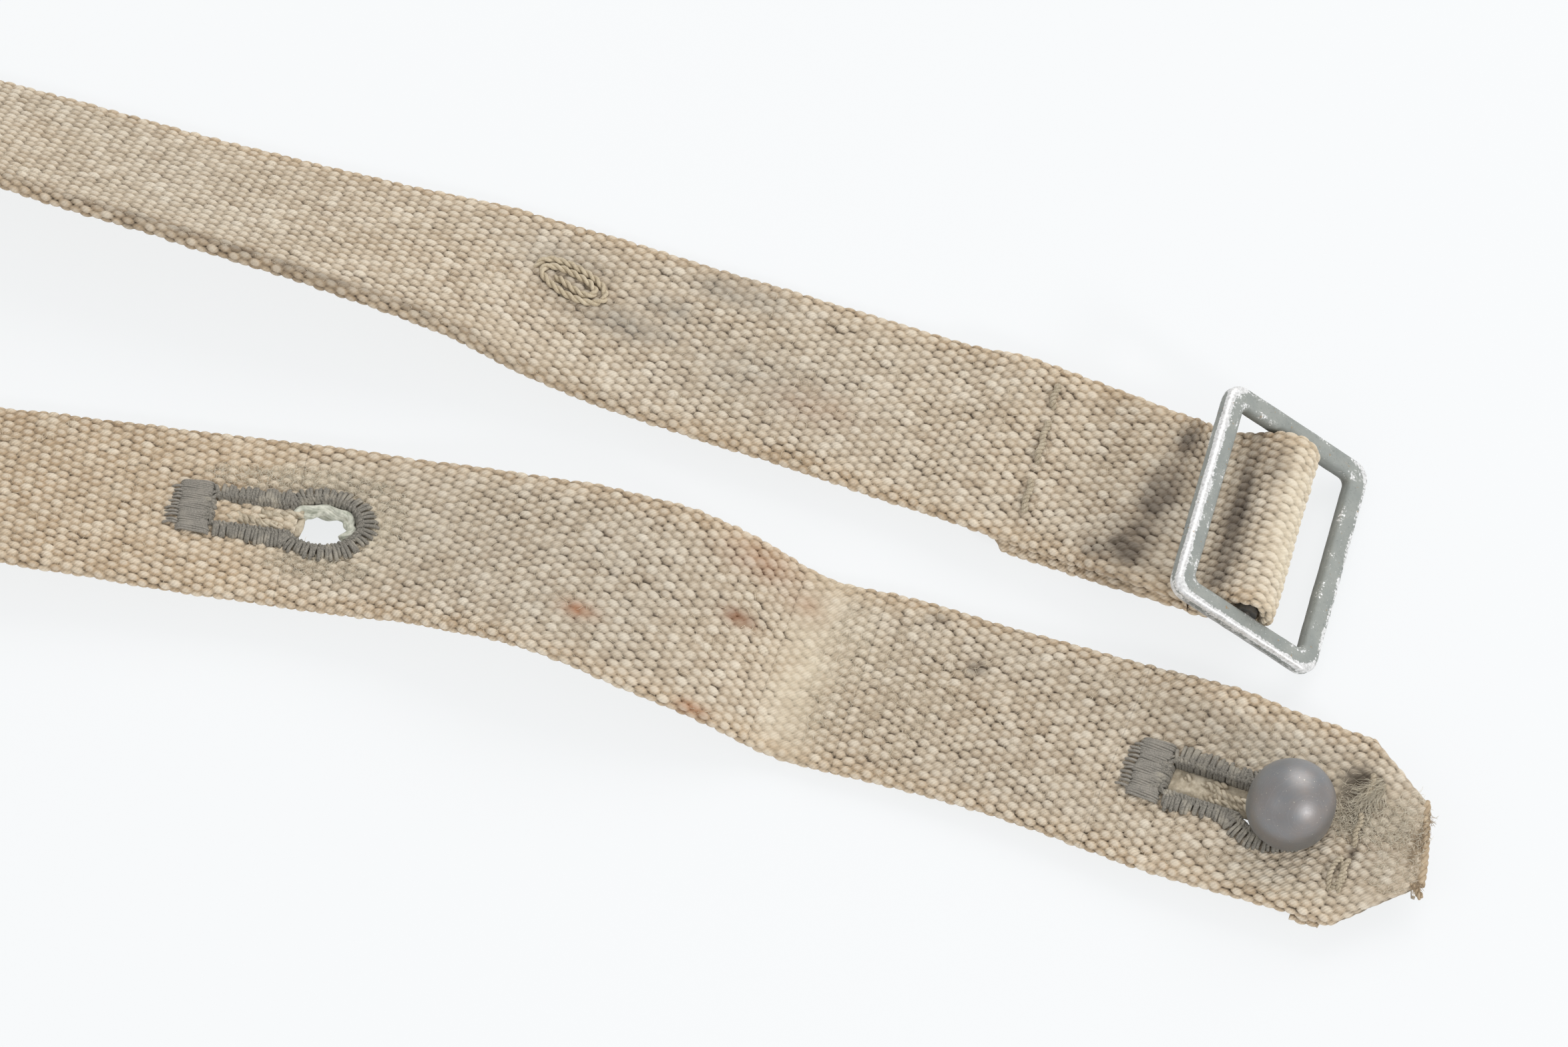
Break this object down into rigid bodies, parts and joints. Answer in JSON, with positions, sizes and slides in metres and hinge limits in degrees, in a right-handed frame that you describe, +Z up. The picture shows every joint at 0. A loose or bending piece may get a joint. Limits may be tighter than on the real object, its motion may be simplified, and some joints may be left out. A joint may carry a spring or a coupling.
{
  "type": "webbing equipment strap",
  "caption": "Cotton webbing carrying strap with a tilting slide buckle sewn in one end and a pointed, folding keyhole end with a sliding ball stud.",
  "frame": {"origin": "middle of the strap's box, on the surface it lies on", "axes": "+X along the strap, towards the buckle and the pointed end; +Y towards the strand with the buckle; +Z up"},
  "size_m": [0.5056, 0.1636, 0.0289],
  "materials": {
    "webbing": "worn khaki cotton, warp-faced weave",
    "sewing_thread": "dull twisted cotton thread",
    "edging_thread": "grey buttonhole twist, worn",
    "buckle_paint": "grey-green paint worn to bright steel at the edges",
    "gunmetal": "turned, blackened and worn"
  },
  "bodies": {
    "strap": {"webbing_upper_run": "webbing", "webbing_tail": "webbing", "webbing_bend": "webbing", "webbing_lower_run": "webbing", "webbing_buckle_fold": "webbing", "seam_thread": "sewing_thread", "thread_tack": "sewing_thread", "keyhole_1_edging": "edging_thread", "keyhole_1_bar_tack": "edging_thread"},
    "end_flap": {"webbing_end_flap": "webbing", "webbing_tip_turnunder": "webbing", "tip_stitching": "sewing_thread", "keyhole_2_edging": "edging_thread", "keyhole_2_bar_tack": "edging_thread"},
    "buckle": {"buckle_frame": "buckle_paint", "buckle_middle_bar": "buckle_paint"},
    "stud_slider": {"stud_base": "gunmetal"},
    "stud_top": {"stud_head": "gunmetal", "stud_neck": "gunmetal"}
  },
  "joints": [
    {"name": "end_fold", "type": "hinge", "parent": "strap", "child": "end_flap", "pos_m": [0.16674, -0.0417, 0.00259], "axis": [-0.2973, -0.9547, -0.0083], "range_deg": [0, 140]},
    {"name": "buckle_tilt", "type": "hinge", "parent": "strap", "child": "buckle", "pos_m": [0.23072, -0.02296, 0.00944], "axis": [0.2533, 0.9655, -0.061], "range_deg": [-15, 105]},
    {"name": "stud_slide", "type": "slide", "parent": "end_flap", "child": "stud_slider", "axis": [-0.9283, 0.3675, -0.0571], "range_m": [0, 0.0155]},
    {"name": "stud_spin", "type": "hinge", "parent": "stud_slider", "child": "stud_top", "pos_m": [0.23253, -0.06606, 0.005], "axis": [0.07, -0.1599, 0.9846], "continuous": true}
  ]
}
